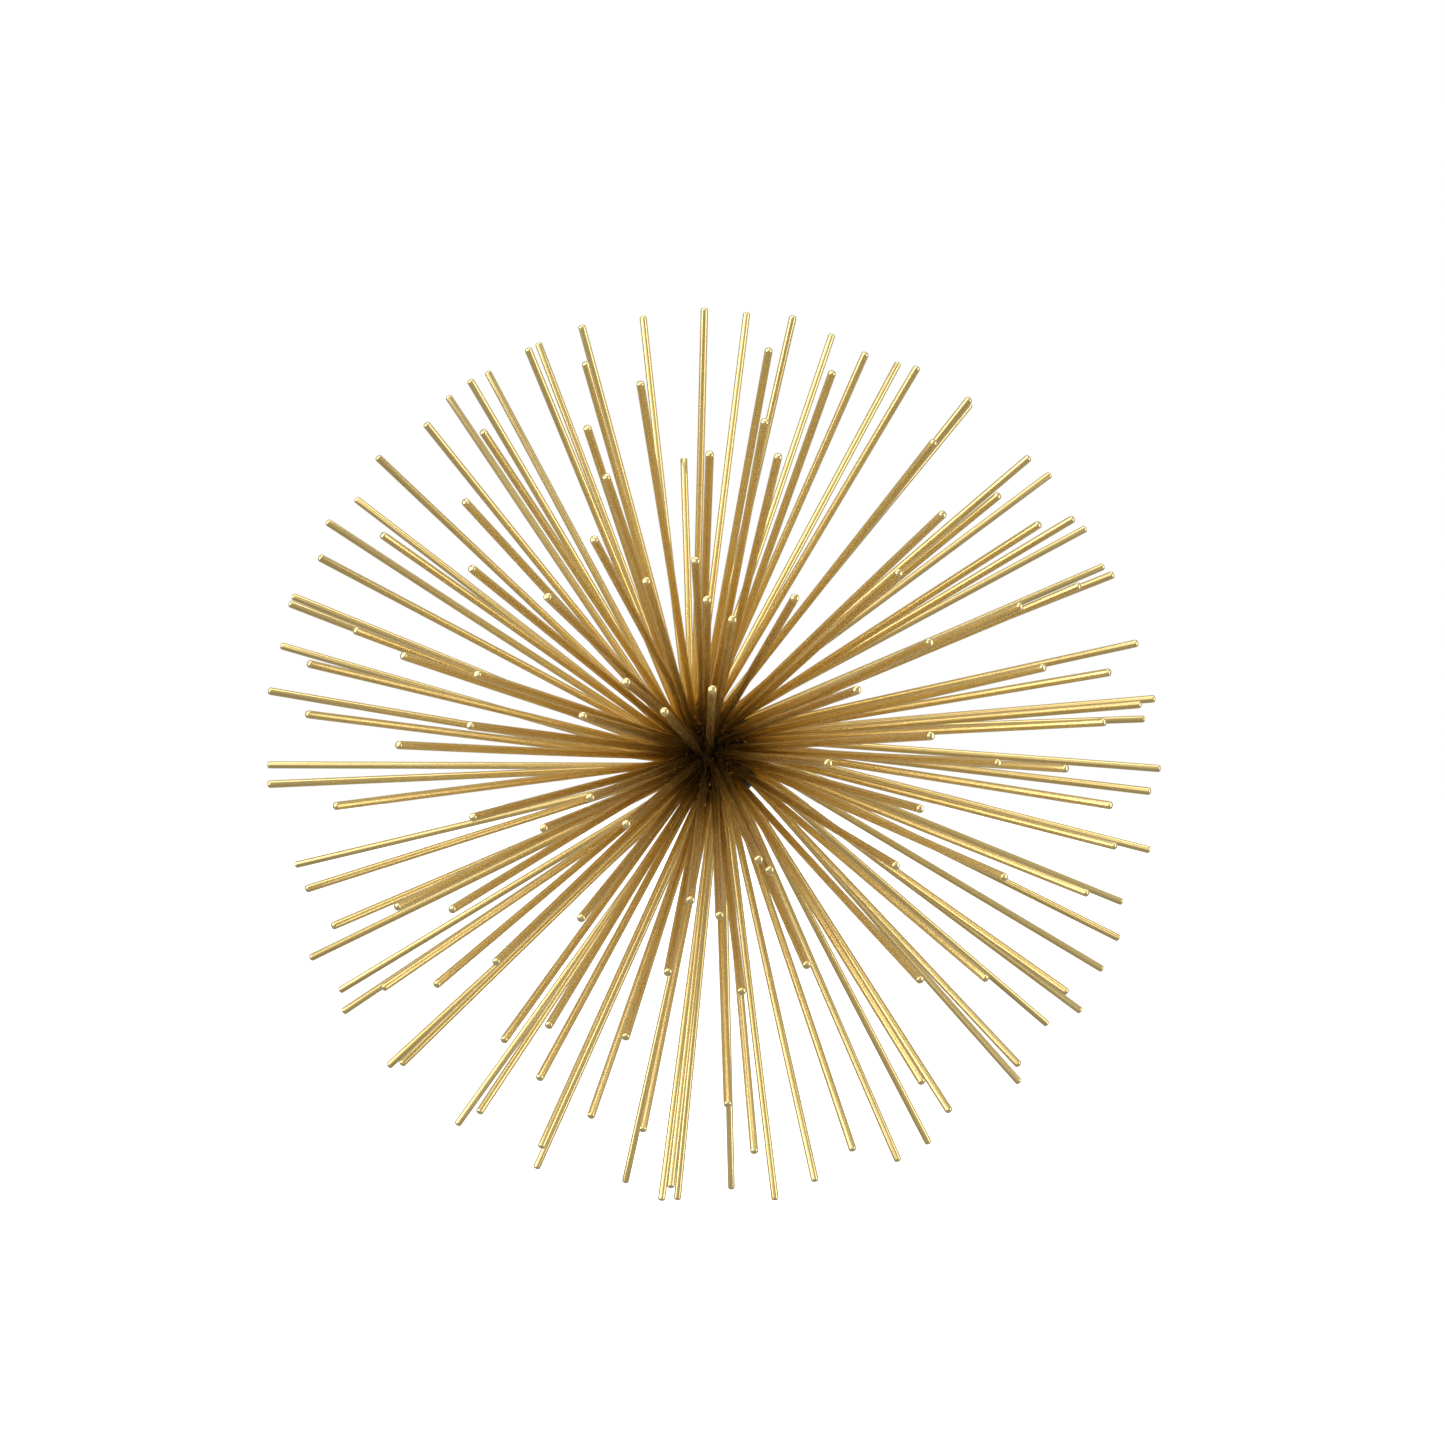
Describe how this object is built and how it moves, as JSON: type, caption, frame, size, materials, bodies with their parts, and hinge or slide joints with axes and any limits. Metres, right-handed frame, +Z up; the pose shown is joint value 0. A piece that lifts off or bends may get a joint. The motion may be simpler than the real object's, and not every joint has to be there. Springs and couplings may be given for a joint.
{
  "type": "starburst wall sculpture",
  "caption": "Dome of straight satin brass spikes with polished round ends, fanning from a small ball, hung on one wall screw by a keyhole plate.",
  "frame": {"origin": "centre of the keyhole's round part on the wall plane, which is on the axis of the ball", "axes": "+Y into the wall along the axis of the ball, +Z up, the spikes fan out towards -Y"},
  "size_m": [0.2464, 0.1372, 0.2463],
  "materials": {
    "spike_brass": "satin drawn rod with polished round ends",
    "hub_brass": "satin, darkened by brazing",
    "collar_brass": "satin turned",
    "plate_steel": "brushed",
    "screw_steel": "zinc plated"
  },
  "bodies": {
    "root": {"sector_01_inner_spikes": "spike_brass", "sector_01_outer_spikes": "spike_brass", "sector_01_rim_spikes": "spike_brass", "sector_02_inner_spikes": "spike_brass", "sector_02_outer_spikes": "spike_brass", "sector_02_rim_spikes": "spike_brass", "sector_03_inner_spikes": "spike_brass", "sector_03_outer_spikes": "spike_brass", "sector_03_rim_spikes": "spike_brass", "sector_04_inner_spikes": "spike_brass", "sector_04_outer_spikes": "spike_brass", "sector_04_rim_spikes": "spike_brass", "sector_05_inner_spikes": "spike_brass", "sector_05_outer_spikes": "spike_brass", "sector_05_rim_spikes": "spike_brass", "sector_06_inner_spikes": "spike_brass", "sector_06_outer_spikes": "spike_brass", "sector_06_rim_spikes": "spike_brass", "sector_07_inner_spikes": "spike_brass", "sector_07_outer_spikes": "spike_brass", "sector_07_rim_spikes": "spike_brass", "sector_08_inner_spikes": "spike_brass", "sector_08_outer_spikes": "spike_brass", "sector_08_rim_spikes": "spike_brass", "sector_09_inner_spikes": "spike_brass", "sector_09_outer_spikes": "spike_brass", "sector_09_rim_spikes": "spike_brass", "sector_10_inner_spikes": "spike_brass", "sector_10_outer_spikes": "spike_brass", "sector_10_rim_spikes": "spike_brass", "sector_11_inner_spikes": "spike_brass", "sector_11_outer_spikes": "spike_brass", "sector_11_rim_spikes": "spike_brass", "sector_12_inner_spikes": "spike_brass", "sector_12_outer_spikes": "spike_brass", "sector_12_rim_spikes": "spike_brass", "short_spike": "spike_brass", "hub_ball": "hub_brass", "spacer_collar": "collar_brass", "wall_plate": "plate_steel", "plate_screws": "screw_steel"}
  },
  "joints": []
}
